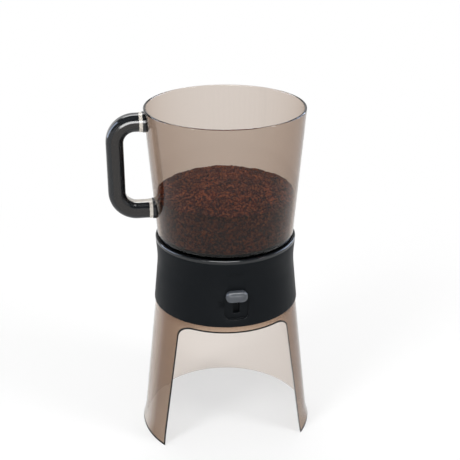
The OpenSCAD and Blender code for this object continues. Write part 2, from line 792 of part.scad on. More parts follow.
module lock_collar() {
    bore_r = tube_r + press_gap * 2;
    bottom_z = seat_z - collar_drop;
    groove_z = seat_z - 27;
    low_r = collar_r - 1.8;
    inner_z = seat_z - 20;
    color([0.06, 0.07, 0.08]) difference() {
        revolve([
            [bore_r, seat_z],
            [collar_r + 2.2, seat_z],
            [collar_r + 2.2, seat_z - 1.8, 0.8],
            [collar_r, seat_z - 3.4, 0.6],
            [collar_r - 0.7, groove_z + 0.8, 0.3],
            [collar_r - 1.4, groove_z, 0.2],
            [collar_r - 0.9, groove_z - 0.8, 0.3],
            [low_r, bottom_z, 0.8],
            [low_r - collar_wall, bottom_z, 0.8],
            [low_r - collar_wall, inner_z, 1],
            [bore_r, inner_z]
        ]);
        // two bayonet notches in the lower edge
        for (side = [0, 180]) rotate([0, 0, side + 12])
            block([bore_r + 1, -4, bottom_z - cut], [collar_r + 1, 4, bottom_z + 8]);
    }
}

module valve_guide() {
    ring_r = tube_in_r - press_gap;
    color([0.13, 0.13, 0.14]) difference() {
        union() {
            translate([0, 0, valve_guide_z]) cylinder(r = valve_hub_r, h = valve_guide_t);
            translate([0, 0, valve_guide_z]) spoked_ring(valve_hub_r, ring_r, valve_guide_t);
        }
        translate([0, 0, valve_guide_z - cut])
            cylinder(r = upper_stem_r + pin_gap, h = valve_guide_t + 2 * cut);
    }
}

// Closed loft through rings of equal length, capped at both ends
module swept(rings) {
    n = len(rings[0]);
    m = len(rings);
    polyhedron(
        points = [for (ring = rings) each ring],
        faces = concat(
            [[for (i = [0:n - 1]) i]],
            [for (j = [0:m - 2], i = [0:n - 1])
                [j * n + i, (j + 1) * n + i, (j + 1) * n + (i + 1) % n, j * n + (i + 1) % n]],
            [[for (i = [n - 1:-1:0]) (m - 1) * n + i]]
        )
    );
}

module valve_spring() {
    turns = 4;
    per_turn = 12;
    sides = 6;
    low_z = plug_z + plug_h + spring_wire_r + 0.05;
    high_z = valve_guide_z - spring_wire_r - 0.05;
    steps = turns * per_turn;
    color([0.78, 0.79, 0.81]) swept([for (i = [0:steps])
        let (a = 360 * i / per_turn, z = low_z + (high_z - low_z) * i / steps)
        [for (k = [0:sides - 1])
            let (b = -360 * k / sides, r = spring_coil_r + spring_wire_r * cos(b))
            [r * cos(a), r * sin(a), z + spring_wire_r * sin(b)]]
    ]);
}

module valve_plug() {
    color([0.6, 0.61, 0.62]) revolve([
        [3 + press_gap, plug_z - port_t + 0.6],
        [port_r - 2.2, plug_z - port_t + 0.6, 0.8],
        [port_r - 1, plug_z, 0.4],
        [plug_r, plug_z, 0.4],
        [plug_r, plug_z + plug_h - 2.5, 0.6],
        [8, plug_z + plug_h, 1],
        [3 + press_gap, plug_z + plug_h]
    ]);
}

module valve_stem() {
    color([0.16, 0.16, 0.17]) revolve([
        [0, plunger_top_z + slide_gap],
        [stem_r, plunger_top_z + slide_gap, 1.2],
        [stem_r, plug_z - port_t + 0.5, 0.3],
        [3, plug_z - port_t + 0.5],
        [3, plug_z + plug_h + 0.4],
        [upper_stem_r, plug_z + plug_h + 0.4],
        [upper_stem_r, valve_guide_z + valve_guide_t + 1, 0.5],
        [0, valve_guide_z + valve_guide_t + 1]
    ]);
}

module filter_frame() {
    bottom_z = floor_z + press_gap;
    color([0.06, 0.06, 0.07]) union() {
        revolve([
            [mesh_r - 4, mesh_z - spoke_t],
            [mesh_r - 4, mesh_z],
            [mesh_r + press_gap, mesh_z],
            [mesh_r + press_gap, filter_top_z],
            [filter_r - 1, filter_top_z, 0.8],
            [filter_r, filter_top_z - 3.2, 0.3],
            [filter_r, bottom_z, 0.4],
            [filter_r - 3, bottom_z, 0.4],
            [filter_r - 3, mesh_z - spoke_t]
        ]);
        translate([0, 0, mesh_z - spoke_t]) cylinder(r = 6, h = spoke_t);
        for (i = [0:spokes - 1]) rotate([0, 0, 360 * i / spokes])
            translate([5, -1, mesh_z - spoke_t]) cube([mesh_r - 8, 2, spoke_t]);
    }
}

module filter_mesh() {
    color([0.72, 0.73, 0.74]) translate([0, 0, mesh_z]) cylinder(r = mesh_r, h = mesh_t);
}

module filter_ring() {
    color([0.06, 0.06, 0.07]) revolve([
        [mesh_r - 3.2, mesh_z + mesh_t, 0.4],
        [mesh_r - 3.2, filter_top_z, 0.6],
        [mesh_r, filter_top_z, 0.4],
        [mesh_r, mesh_z + mesh_t]
    ]);
}

module filter_gasket() {
    bottom_z = floor_z + press_gap;
    color([0.1, 0.1, 0.11]) revolve([
        [filter_r, bottom_z],
        [filter_r + 2.2, bottom_z, 0.5],
        [filter_r + 1.4, bottom_z + 2, 0.4],
        [filter_r + 2.6, bottom_z + 3.6, 0.5],
        [filter_r, bottom_z + 3.6]
    ]);
}

module coffee_bed() {
    edge_z = floor_z + coffee_edge_h;
    edge_r = body_r(edge_z) - body_wall - free_gap;
    low_r = body_r(floor_z) - body_wall - free_gap;
    chamfer = corner_r - body_wall + free_gap;
    inner_r = filter_r + 2.9;
    rest_z = mesh_z + mesh_t;
    over_z = filter_top_z + press_gap;
    color([0.2, 0.08, 0.06]) revolve([
        [0, rest_z],
        [mesh_r - 3.4, rest_z],
        [mesh_r - 3.4, over_z],
        [inner_r, over_z],
        [inner_r, floor_z + slide_gap + max(0, inner_r - low_r + chamfer)],
        [max(inner_r + cut, low_r - chamfer), floor_z + slide_gap + max(0, inner_r + cut - low_r + chamfer)],
        [low_r, floor_z + slide_gap + chamfer],
        [edge_r, edge_z],
        [edge_r * 0.72, edge_z + coffee_heap_h * 0.35, 20],
        [edge_r * 0.3, edge_z + coffee_heap_h * 0.9, 16],
        [0, edge_z + coffee_heap_h]
    ]);
}

// One half of the handle loop, from its middle round to the arm that meets the wall, as the lower half.
// X of the section points out of the loop, Y across it. The arm ends this far from the axis.
module handle_half(arm_end) {
    bend_x = handle_x + handle_bend_r;
    bend_z = handle_bend_r - handle_span / 2;
    translate([handle_x, 0, bend_z]) linear_extrude(-bend_z) mirror([1, 0, 0]) children();
    translate([bend_x, 0, bend_z]) rotate([90, 0, 0]) rotate([0, 0, 180])
        rotate_extrude(angle = 90) translate([handle_bend_r, 0]) children();
    translate([-arm_end, 0, -handle_span / 2]) rotate([0, -90, 0])
        linear_extrude(-bend_x - arm_end + join) mirror([1, 0, 0]) children();
}

// Sweeps a section round the whole handle loop
module handle_loop() {
    translate([0, 0, handle_low_z + handle_span / 2]) {
        handle_half(handle_start(handle_low_z)) children();
        mirror([0, 0, 1]) handle_half(handle_start(handle_top_z)) children();
    }
}

function handle_start(z) = body_r(z) + boss_l + handle_collar_l;

// Rounded section of the handle, inset all round
module handle_section(inset = 0, round_r = 7) {
    polygon(rounded([for (c = [[-1, -1], [1, -1], [1, 1], [-1, 1]])
        [c[0] * (handle_t / 2 - inset), c[1] * (handle_w / 2 - inset), round_r - inset]]));
}

// Band across the handle where the side panels sit, on both sides
module panel_section(play = 0) {
    for (side = [-1, 1]) intersection() {
        translate([-panel_h / 2 - play, side > 0 ? handle_w / 2 - 2.2 - play : -handle_w / 2])
            square([panel_h + 2 * play, 2.2 + play]);
        handle_section();
    }
}

// Band along the inner side of the loop where the clear strip sits
module strip_section(play = 0) {
    intersection() {
        translate([-handle_t / 2, -4.5 - play]) square([1.8 + play, 9 + 2 * play]);
        handle_section();
    }
}

module handle_grip() {
    color([0.05, 0.055, 0.06])
        handle_loop() difference() {
            handle_section();
            panel_section(press_gap);
            strip_section(press_gap);
        }
}

module handle_panels() {
    color([0.3, 0.28, 0.27])
        handle_loop() panel_section();
}

module handle_strip() {
    color([0.7, 0.7, 0.7])
        handle_loop() strip_section();
}

// Short length of a handle end, from one distance out of the wall to another
module handle_end(z, from, to, inset) {
    translate([-body_r(z) - from, 0, z]) rotate([0, -90, 0])
        linear_extrude(to - from) handle_section(inset);
}

module handle_collars() {
    color([0.7, 0.66, 0.62]) for (z = [handle_top_z, handle_low_z])
        handle_end(z, boss_l, boss_l + handle_collar_l, -0.4);
}

module handle_bosses() {
    color([0.12, 0.11, 0.11]) difference() {
        for (z = [handle_top_z, handle_low_z]) handle_end(z, -8, boss_l, -1);
        translate([0, 0, seat_z])
            cylinder(r1 = base_r + press_gap, r2 = rim_r + press_gap, h = body_h, $fn = 360);
    }
}

leg_shell();
ring_housing();
drip_well();
drain_funnel();
funnel_screws();
bottom_cover();
cover_screws();
plunger_guide();
lever_pin();
rocker_lever();
plunger();
switch_slider();
switch_pin();
switch_knob();
brew_container();
lower_skirt();
drain_tube();
floor_gasket();
lock_collar();
valve_guide();
valve_spring();
valve_plug();
valve_stem();
filter_frame();
filter_mesh();
filter_ring();
filter_gasket();
coffee_bed();
handle_grip();
handle_panels();
handle_strip();
handle_collars();
handle_bosses();
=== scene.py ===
"""Cold brew coffee maker: a smoked container of ground coffee over a clear arched stand.

Metres, in the frame of the construction model: +Z up, switch toward -Y, handle toward -X.
"""

import json
import math

import bpy
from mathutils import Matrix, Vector


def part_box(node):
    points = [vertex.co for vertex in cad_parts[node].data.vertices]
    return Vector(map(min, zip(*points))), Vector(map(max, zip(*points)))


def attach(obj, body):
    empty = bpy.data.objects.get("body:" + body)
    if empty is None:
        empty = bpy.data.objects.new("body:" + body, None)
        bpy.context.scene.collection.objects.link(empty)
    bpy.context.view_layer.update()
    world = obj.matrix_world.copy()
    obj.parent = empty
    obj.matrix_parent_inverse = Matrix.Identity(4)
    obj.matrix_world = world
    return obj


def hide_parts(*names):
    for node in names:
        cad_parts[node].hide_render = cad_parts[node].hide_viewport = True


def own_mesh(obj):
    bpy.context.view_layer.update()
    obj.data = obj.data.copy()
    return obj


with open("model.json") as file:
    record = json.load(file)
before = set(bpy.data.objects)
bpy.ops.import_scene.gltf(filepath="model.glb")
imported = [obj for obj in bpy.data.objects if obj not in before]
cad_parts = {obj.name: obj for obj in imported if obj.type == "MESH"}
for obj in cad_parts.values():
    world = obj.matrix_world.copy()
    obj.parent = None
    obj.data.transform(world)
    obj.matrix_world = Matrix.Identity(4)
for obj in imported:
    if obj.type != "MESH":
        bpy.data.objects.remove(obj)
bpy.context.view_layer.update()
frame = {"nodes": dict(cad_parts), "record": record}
nodes = frame["nodes"]

MM = 0.001
WHITE = (1, 1, 1, 1)

# Camera, fitted to the photograph's circles and heights
CAMERA_DISTANCE = 922.8 * MM
CAMERA_HEIGHT = 635.2 * MM
CAMERA_SIDE_STEP = 5 * MM
CAMERA_TURN = math.radians(-9)
CAMERA_PITCH = math.radians(23.64)
CAMERA_LENS = 73.06
CAMERA_SENSOR = 36

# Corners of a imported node's loose triangles that lie this close are one
SAME_POINT = 0.01 * MM

# Rounding of the ring's edges, and the fold from which an edge counts as sharp
RING_EDGE = 0.7 * MM
RING_EDGE_STEPS = 3
RING_EDGE_FOLD = math.radians(38)

# Folds of the spring's wire up to this one shade smooth
WIRE_FOLD = math.radians(50)

# Underside of the coffee: how far its face on the filter's mesh ends inside the mesh's edge, its gaps to
# the filter's frame and seal, and its bevelled foot
COFFEE_INSET = 3.4 * MM
COFFEE_FRAME_GAP = 0.1 * MM
COFFEE_SEAL_GAP = 0.3 * MM
COFFEE_BEVEL = 1 * MM
COFFEE_FOOT = 4.2 * MM

# Side and top: height of the edge over the underside, how far the side leans out, how far the crown stays
# below that of the plain solid, which is higher than the photograph's heap, and how round the crown is
COFFEE_EDGE = 45.6 * MM
COFFEE_TAPER = 3.9 * MM
COFFEE_CROWN_DROP = 4.5 * MM
COFFEE_CROWN_CURVE = 1.6

# Mesh of the heap, before each of its faces is split in four
HEAP_SIDES = 230
WALL_RINGS = 20
TOP_RINGS = 38

# Unevenness of the top: the name of each kind, its size and height in millimetres, and how many finer
# sizes lie within it. Close to the wall it is flatter, and it starts a little below the edge
COFFEE_LUMPS = (
    ("coffee_lumps", 16, 3.6, 1),
    ("coffee_clods", 3.6, 3.4, 2),
    ("coffee_grains", 1.6, 2.2, 1),
)
WALL_BAND = 9 * MM
WALL_SHARE = 0.65
LUMPS_BELOW_EDGE = 0.5 * MM

# Coffee's pattern: a grain, the fines between the grains, and patches of lighter and darker coffee
GRAIN = 1.5 * MM
FINES = 0.9 * MM
PATCH = 30 * MM

# Other patterns, counted per metre. A moulding's roughness drifts in patches of about 36 mm. A clear wall
# ripples in waves of about 62 mm. Lines in brushed steel are 1.4 mm long and 0.1 mm apart
DRIFTS_PER_METRE = 28.0
RIPPLES_PER_METRE = 16.0
LINES_PER_METRE = 700.0
LINE_STRETCH = 14

# White surroundings: heights between which the ceiling darkens (0 is the horizon, 1 is overhead), how much
# of it is left, and the plain light that the surroundings give
CEILING_FROM = 0.22
CEILING_TO = 0.45
CEILING_SHADE = 0.15
WORLD_LIGHT = 0.5

# Floor: its width, how far it lies under the stand, its own light and its grey near the object, and the
# distances between which it fades to white
FLOOR_WIDTH = 30
FLOOR_GAP = 0.2 * MM
FLOOR_GLOW = 0.62
FLOOR_GREY = 0.36
FADE_FROM = 0.25
FADE_TO = 0.75

# What most lamps point at
MIDDLE = (0, 0, 0.2)


# ---------------------------------------------------------------- materials

def linear(hex_colour):
    """An sRGB hex colour as the linear RGBA that shaders take."""
    channels = [int(hex_colour[i:i + 2], 16) / 255 for i in (1, 3, 5)]
    return [c / 12.92 if c <= 0.04045 else ((c + 0.055) / 1.055) ** 2.4 for c in channels] + [1.0]


def add_node(tree, kind, links=None, **settings):
    """Adds a shader node. Settings name its properties or input sockets. Links give the sources of its
    inputs, each by the input's name or number."""
    made = tree.nodes.new(kind)
    for name, value in settings.items():
        if hasattr(made, name):
            setattr(made, name, value)
        else:
            made.inputs[name.replace("_", " ")].default_value = value
    for name, source in (links or {}).items():
        tree.links.new(source, made.inputs[name])
    return made


def new_material(name):
    """An empty node material, with its tree and output."""
    made = bpy.data.materials.new(name)
    made.use_nodes = True
    made.node_tree.nodes.clear()
    return made, made.node_tree, made.node_tree.nodes.new("ShaderNodeOutputMaterial")


def surface(tree, output, shader):
    """Shows a shader on the surface of a material or of the world."""
    tree.links.new(shader, output.inputs["Surface"])


def colour_stops(ramp, stops):
    """Sets a colour ramp to pairs of a position and a hex colour, in rising order."""
    elements = ramp.color_ramp.elements
    elements[0].position = stops[0][0]
    elements[0].color = linear(stops[0][1])
    elements[1].position = stops[-1][0]
    elements[1].color = linear(stops[-1][1])
    for position, colour in stops[1:-1]:
        elements.new(position).color = linear(colour)


def moulded_bump(tree, grain_mm, height):
    """Fine unevenness of a moulded surface. grain_mm is the size of its spots."""
    place = add_node(tree, "ShaderNodeTexCoord")
    spots = add_node(tree, "ShaderNodeTexNoise", {"Vector": place.outputs["Object"]},
                     Scale=1 / (grain_mm * MM), Detail=2.0)
    return add_node(tree, "ShaderNodeBump", {"Height": spots.outputs["Fac"]},
                    Strength=height, Distance=0.1 * MM)


def moulded_plastic(name, colour, roughness_low, roughness_high, grain_mm, bump, gleam=0.5):
    """Moulded plastic. Its roughness drifts a little over the surface; gleam is its specular level."""
    made, tree, output = new_material(name)
    height = moulded_bump(tree, grain_mm, bump)
    place = add_node(tree, "ShaderNodeTexCoord")
    drift = add_node(tree, "ShaderNodeTexNoise", {"Vector": place.outputs["Object"]},
                     Scale=DRIFTS_PER_METRE, Detail=3.0)
    rough = add_node(tree, "ShaderNodeMapRange", {"Value": drift.outputs["Fac"]},
                     From_Min=0.3, From_Max=0.7, To_Min=roughness_low, To_Max=roughness_high)
    shader = add_node(tree, "ShaderNodeBsdfPrincipled",
                      {"Roughness": rough.outputs["Result"], "Normal": height.outputs["Normal"]},
                      Base_Color=linear(colour), Specular_IOR_Level=gleam)
    surface(tree, output, shader.outputs["BSDF"])
    return made


def smoked_copolyester(name, colour, density, ior, painted_shade=()):
    """Clear moulded copolyester with a smoke tint that deepens with the wall's depth along the view.
    Painted shade is pairs of a place along Y in millimetres and the colour painted into the wall there,
    which darkens the wall where the view crosses two walls."""
    made, tree, output = new_material(name)
    place = add_node(tree, "ShaderNodeTexCoord")
    ripple = add_node(tree, "ShaderNodeTexNoise", {"Vector": place.outputs["Object"]},
                      Scale=RIPPLES_PER_METRE, Detail=1.0)
    height = add_node(tree, "ShaderNodeBump", {"Height": ripple.outputs["Fac"]},
                      Strength=0.10, Distance=0.6 * MM)
    glass = add_node(tree, "ShaderNodeBsdfPrincipled", {"Normal": height.outputs["Normal"]},
                     Base_Color=WHITE, IOR=ior, Roughness=0.01, Transmission_Weight=1.0)
    # where given, painted shade: the wall's colour is painted darker between places along Y
    if painted_shade:
        first, last = painted_shade[0][0], painted_shade[-1][0]
        along = add_node(tree, "ShaderNodeSeparateXYZ", {"Vector": place.outputs["Object"]})
        share = add_node(tree, "ShaderNodeMapRange", {"Value": along.outputs["Y"]},
                         From_Min=first * MM, From_Max=last * MM)
        ramp = add_node(tree, "ShaderNodeValToRGB", {"Fac": share.outputs["Result"]})
        colour_stops(ramp, [((y - first) / (last - first), tint) for y, tint in painted_shade])
        tree.links.new(ramp.outputs["Color"], glass.inputs["Base Color"])
    smoke = add_node(tree, "ShaderNodeVolumeAbsorption", Color=linear(colour), Density=density)
    surface(tree, output, glass.outputs["BSDF"])
    tree.links.new(smoke.outputs["Volume"], output.inputs["Volume"])
    return made


def brushed_steel(name, colour, roughness):
    """Stainless steel, drawn or turned. Its lines are finer in the real one. They are drawn coarser, so
    that they show from near."""
    made, tree, output = new_material(name)
    place = add_node(tree, "ShaderNodeTexCoord")
    stretch = add_node(tree, "ShaderNodeMapping", {"Vector": place.outputs["Object"]},
                       Scale=(1, 1, LINE_STRETCH))
    lines = add_node(tree, "ShaderNodeTexNoise", {"Vector": stretch.outputs["Vector"]},
                     Scale=LINES_PER_METRE, Detail=2.0)
    rough = add_node(tree, "ShaderNodeMapRange", {"Value": lines.outputs["Fac"]},
                     To_Min=roughness - 0.08, To_Max=roughness + 0.1)
    height = add_node(tree, "ShaderNodeBump", {"Height": lines.outputs["Fac"]},
                      Strength=0.1, Distance=0.05 * MM)
    shader = add_node(tree, "ShaderNodeBsdfPrincipled",
                      {"Roughness": rough.outputs["Result"], "Normal": height.outputs["Normal"]},
                      Base_Color=linear(colour), Metallic=1.0)
    surface(tree, output, shader.outputs["BSDF"])
    return made


def silicone(name, colour):
    """Moulded silicone, satin, with a soft unevenness."""
    made, tree, output = new_material(name)
    height = moulded_bump(tree, 1.2, 0.15)
    shader = add_node(tree, "ShaderNodeBsdfPrincipled", {"Normal": height.outputs["Normal"]},
                      Base_Color=linear(colour), Roughness=0.55, IOR=1.41, Sheen_Weight=0.15)
    surface(tree, output, shader.outputs["BSDF"])
    return made


def ground_coffee(name):
    """Coarse ground coffee: red-brown grains with dark flecks between them, and painted shade that darkens
    the faces against the wall.
    Real grains are about 1 mm across. They are drawn at 1.5 mm, so that they still show from afar."""
    made, tree, output = new_material(name)
    place = add_node(tree, "ShaderNodeTexCoord")
    grains = add_node(tree, "ShaderNodeTexVoronoi", {"Vector": place.outputs["Object"]}, Scale=1 / GRAIN)
    fines = add_node(tree, "ShaderNodeTexNoise", {"Vector": place.outputs["Object"]},
                     Scale=1 / FINES, Detail=4.0, Roughness=0.7)
    patches = add_node(tree, "ShaderNodeTexNoise", {"Vector": place.outputs["Object"]},
                       Scale=1 / PATCH, Detail=4.0, Roughness=0.6)
    grain_value = add_node(tree, "ShaderNodeSeparateColor", {"Color": grains.outputs["Color"]})
    speckle = add_node(tree, "ShaderNodeMix",
                       {"A": grain_value.outputs["Red"], "B": fines.outputs["Fac"]}, Factor=0.45)
    ramp = add_node(tree, "ShaderNodeValToRGB", {"Fac": speckle.outputs["Result"]})
    colour_stops(ramp, [(0.20, "#1A0A07"), (0.52, "#662919"), (0.88, "#CE6F40")])
    tone = add_node(tree, "ShaderNodeMapRange", {"Value": patches.outputs["Fac"]},
                    From_Min=0.35, From_Max=0.65, To_Min=0.55, To_Max=1.35)
    # faces that don't look up, which lie against the wall, are painted darker: painted shade
    facing = add_node(tree, "ShaderNodeSeparateXYZ",
                      {"Vector": add_node(tree, "ShaderNodeNewGeometry").outputs["Normal"]})
    painted_side_shade = add_node(tree, "ShaderNodeMapRange", {"Value": facing.outputs["Z"]},
                      From_Min=0.1, From_Max=0.7, To_Min=0.42, To_Max=1.0)
    shade = add_node(tree, "ShaderNodeMath",
                     {0: tone.outputs["Result"], 1: painted_side_shade.outputs["Result"]}, operation="MULTIPLY")
    toned = add_node(tree, "ShaderNodeVectorMath",
                     {0: ramp.outputs["Color"], 1: shade.outputs[0]}, operation="MULTIPLY")
    height = add_node(tree, "ShaderNodeBump", {"Height": grains.outputs["Distance"]},
                      invert=True, Strength=0.7, Distance=0.5 * MM)
    shader = add_node(tree, "ShaderNodeBsdfPrincipled",
                      {"Base Color": toned.outputs["Vector"], "Normal": height.outputs["Normal"]},
                      Roughness=0.85, Specular_IOR_Level=0.25)
    surface(tree, output, shader.outputs["BSDF"])
    return made


# Smoked mouldings: one wall takes a third of the light, the red least and the blue most. Copolyester
# bends light by 1.57; the index is matched lower to the weak reflections that the object shows
SMOKED = smoked_copolyester("smoked_copolyester", "#BBA186", 300.0, 1.30)
# The stand's wall is painted darker round its front, as painted shade where the view crosses two walls,
# and it stays nearly clear from the flanks to the back
LEG_PAINTED_SHADE = ((-75, "#F0E1D1"), (-50, "#BBA693"), (-34, "#AB937F"), (-8, "#FFFFFF"))
LEG_SMOKE_AND_PAINTED_SHADE = smoked_copolyester("smoked_copolyester_legs_painted_shade", "#BFA68C", 185.0, 1.36, LEG_PAINTED_SHADE)
# The paler skirt below the container, with only a hint of the same tint
PALE = smoked_copolyester("pale_copolyester", "#BDA28E", 110.0, 1.25)
# Fine-grained ABS of the ring: an even near-black that hardly gleams. A mould's grain is finer than the
# 0.35 mm at which it is drawn here, so that it shows from near
MATT_ABS = moulded_plastic("matt_black_abs", "#111417", 0.40, 0.50, 0.35, 0.12, gleam=0.06)
# Polished ABS of the well, tube and handle: deep black with sharp pale reflections on every rounded edge
GLOSS_ABS = moulded_plastic("gloss_black_abs", "#171A1D", 0.08, 0.14, 2.5, 0.03, gleam=0.45)
# The blue-grey knob, satin with a soft highlight
GREY_ABS = moulded_plastic("blue_grey_abs", "#45494F", 0.22, 0.30, 0.6, 0.06)
# Smoked side panels set in the handle, dark and glossy
INLAY_ABS = moulded_plastic("smoked_panel_abs", "#1F1C1A", 0.05, 0.10, 3.0, 0.03, gleam=0.5)
# Clear strip and collars of the handle, painted an opaque bright cream: painted reflection of the white
# around them
TRIM_PAINTED_REFLECTION = moulded_plastic("clear_trim_painted_reflection", "#D8D2C8", 0.05, 0.10, 3.0, 0.03)
# Natural acetal of the lever: waxy off-white
ACETAL = moulded_plastic("natural_acetal", "#DBD6CB", 0.34, 0.42, 0.8, 0.05)
# Stainless steel of the spring, pins and screws: bright, with fine lines
STEEL = brushed_steel("stainless_steel", "#C4C6C9", 0.28)
# Woven stainless mesh of the filter: duller, as its wires scatter the light
MESH_STEEL = brushed_steel("woven_stainless_mesh", "#B4B6B9", 0.38)
# Silicone seals: satin and soft, grey under the container and on the valve, black round the filter
GREY_SILICONE = silicone("grey_silicone", "#8C8F91")
BLACK_SILICONE = silicone("black_silicone", "#191A1C")
COFFEE = ground_coffee("coarse_ground_coffee")

FINISH = {
    "smoked_clear": SMOKED,
    "pale_clear": PALE,
    "black_matte": MATT_ABS,
    "black_gloss": GLOSS_ABS,
    "grey_knob": GREY_ABS,
    "handle_inlay": INLAY_ABS,
    "acetal": ACETAL,
    "steel": STEEL,
    "steel_mesh": MESH_STEEL,
    "silicone": GREY_SILICONE,
    "black_rubber": BLACK_SILICONE,
    "coffee": COFFEE,
}
# Nodes that differ a little from the finish of their slot
OWN_FINISH = {"handle_strip": TRIM_PAINTED_REFLECTION, "handle_collars": TRIM_PAINTED_REFLECTION, "leg_shell": LEG_SMOKE_AND_PAINTED_SHADE}


def dress_nodes():
    """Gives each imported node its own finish, or that of its slot."""
    for part in frame["record"]["subparts"]:
        piece = nodes[part["node"]]
        piece.data.materials.clear()
        piece.data.materials.append(OWN_FINISH.get(part["node"], FINISH[part["material_slot"]]))


# ---------------------------------------------------------------- pieces

def merged_copy(node, name):
    """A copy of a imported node's mesh with its loose triangles merged, active and ready to be shaped."""
    bpy.ops.object.select_all(action="DESELECT")
    nodes[node].select_set(True)
    bpy.context.view_layer.objects.active = nodes[node]
    bpy.ops.object.duplicate()
    piece = bpy.context.object
    piece.name = name
    bpy.ops.object.mode_set(mode="EDIT")
    bpy.ops.mesh.select_all(action="SELECT")
    bpy.ops.mesh.remove_doubles(threshold=SAME_POINT)
    bpy.ops.object.mode_set(mode="OBJECT")
    return piece


def soften_ring():
    """The ring with its sharp edges rounded and smooth as the mould leaves them, so that they catch a
    line of light."""
    piece = merged_copy("ring_housing", "ring_soft")
    piece.data.materials.append(GLOSS_ABS)
    edge = piece.modifiers.new("edge", "BEVEL")
    edge.width = RING_EDGE
    edge.segments = RING_EDGE_STEPS
    edge.limit_method = "ANGLE"
    edge.angle_limit = RING_EDGE_FOLD
    edge.harden_normals = True
    # the rounded edges take the second material
    edge.material = 1
    bpy.ops.object.modifier_apply(modifier="edge")
    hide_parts("ring_housing")
    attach(piece, "stand")


def shortening_spring():
    """The spring over the valve. It hangs from its upper end."""
    piece = merged_copy("valve_spring", "valve_spring_wire")
    bpy.ops.object.shade_smooth_by_angle(angle=WIRE_FOLD)
    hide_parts("valve_spring")
    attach(piece, "container")
    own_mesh(piece)


def heap_outline():
    """Half section of the heap, from the filter's mesh round its frame and seal and up the wall to the
    crown, as pairs of a radius and a height."""
    low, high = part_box("coffee_bed")
    mesh_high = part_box("filter_mesh")[1]
    inner_r = mesh_high.x - COFFEE_INSET
    seal_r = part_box("filter_gasket")[1].x + COFFEE_SEAL_GAP
    foot_r = high.x - COFFEE_TAPER
    over_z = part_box("filter_frame")[1].z + COFFEE_FRAME_GAP
    foot_z = low.z + COFFEE_FOOT
    edge_z = low.z + COFFEE_EDGE
    crown_z = high.z - COFFEE_CROWN_DROP
    outline = [
        (inner_r, mesh_high.z),
        (inner_r, over_z),
        (seal_r, over_z),
        (seal_r, low.z),
        (seal_r + COFFEE_BEVEL, low.z + COFFEE_BEVEL),
        (foot_r, foot_z),
    ]
    for i in range(1, WALL_RINGS + 1):
        share = i / WALL_RINGS
        outline.append((foot_r + (high.x - foot_r) * share, foot_z + (edge_z - foot_z) * share))
    for i in range(1, TOP_RINGS):
        out = 1 - i / TOP_RINGS
        rise = 1 - out ** COFFEE_CROWN_CURVE
        outline.append((high.x * out, edge_z + (crown_z - edge_z) * rise))
    return outline


def turned_piece(name, outline, sides):
    """A closed round piece: a disc, extruded ring by ring along its outline and closed at its middle."""
    bpy.ops.object.select_all(action="DESELECT")
    bpy.ops.mesh.primitive_circle_add(vertices=sides, radius=outline[0][0], fill_type="NGON")
    piece = bpy.context.object
    piece.name = name
    bpy.ops.object.mode_set(mode="EDIT")
    bpy.ops.mesh.select_all(action="SELECT")
    bpy.ops.transform.translate(value=(0, 0, outline[0][1]))
    for (r, z), (next_r, next_z) in zip(outline, outline[1:]):
        bpy.ops.mesh.extrude_region_move(TRANSFORM_OT_translate={"value": (0, 0, next_z - z)})
        bpy.ops.transform.resize(value=(next_r / r, next_r / r, 1))
    bpy.ops.mesh.merge(type="CENTER")
    bpy.ops.mesh.select_all(action="SELECT")
    bpy.ops.mesh.normals_make_consistent(inside=False)
    bpy.ops.object.mode_set(mode="OBJECT")
    return piece


def roughen(piece, group, name, size_mm, height_mm, finer_sizes):
    """Lifts and lowers a group of vertices by soft procedural noise of one size."""
    spots = bpy.data.textures.new(name, "CLOUDS")
    spots.noise_scale = size_mm * MM
    spots.noise_depth = finer_sizes
    lift = piece.modifiers.new(name, "DISPLACE")
    lift.texture = spots
    lift.vertex_group = group
    lift.direction = "Z"
    lift.strength = height_mm * MM
    bpy.ops.object.modifier_apply(modifier=name)


def coffee_heap():
    """Loose grounds in place of the plain solid: nearly its outline, with a lumpy, granular top."""
    low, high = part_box("coffee_bed")
    piece = turned_piece("coffee_grounds", heap_outline(), HEAP_SIDES)
    finer = piece.modifiers.new("finer", "SUBSURF")
    finer.subdivision_type = "SIMPLE"
    finer.levels = 1
    finer.render_levels = 1
    bpy.ops.object.modifier_apply(modifier="finer")
    top = piece.vertex_groups.new(name="top")
    for vertex in piece.data.vertices:
        if vertex.co.z >= low.z + COFFEE_EDGE - LUMPS_BELOW_EDGE:
            from_wall = (high.x - math.hypot(vertex.co.x, vertex.co.y)) / WALL_BAND
            share = min(1.0, max(0.0, from_wall))
            top.add([vertex.index], WALL_SHARE + (1 - WALL_SHARE) * share, "REPLACE")
    for name, size_mm, height_mm, finer_sizes in COFFEE_LUMPS:
        roughen(piece, "top", name, size_mm, height_mm, finer_sizes)
    bpy.ops.object.shade_smooth()
    piece.data.materials.append(COFFEE)
    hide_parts("coffee_bed")
    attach(piece, "filter")


# ---------------------------------------------------------------- stage, light and camera

def sees_background(tree):
    """1 for the rays that carry a picture of the surroundings: to the eye, off gloss and through glass."""
    path = add_node(tree, "ShaderNodeLightPath").outputs
    sharp = add_node(tree, "ShaderNodeMath",
                     {0: path["Is Glossy Ray"], 1: path["Is Transmission Ray"]}, operation="MAXIMUM")
    seen = add_node(tree, "ShaderNodeMath",
                    {0: sharp.outputs[0], 1: path["Is Camera Ray"]}, operation="MAXIMUM")
    return seen.outputs[0]


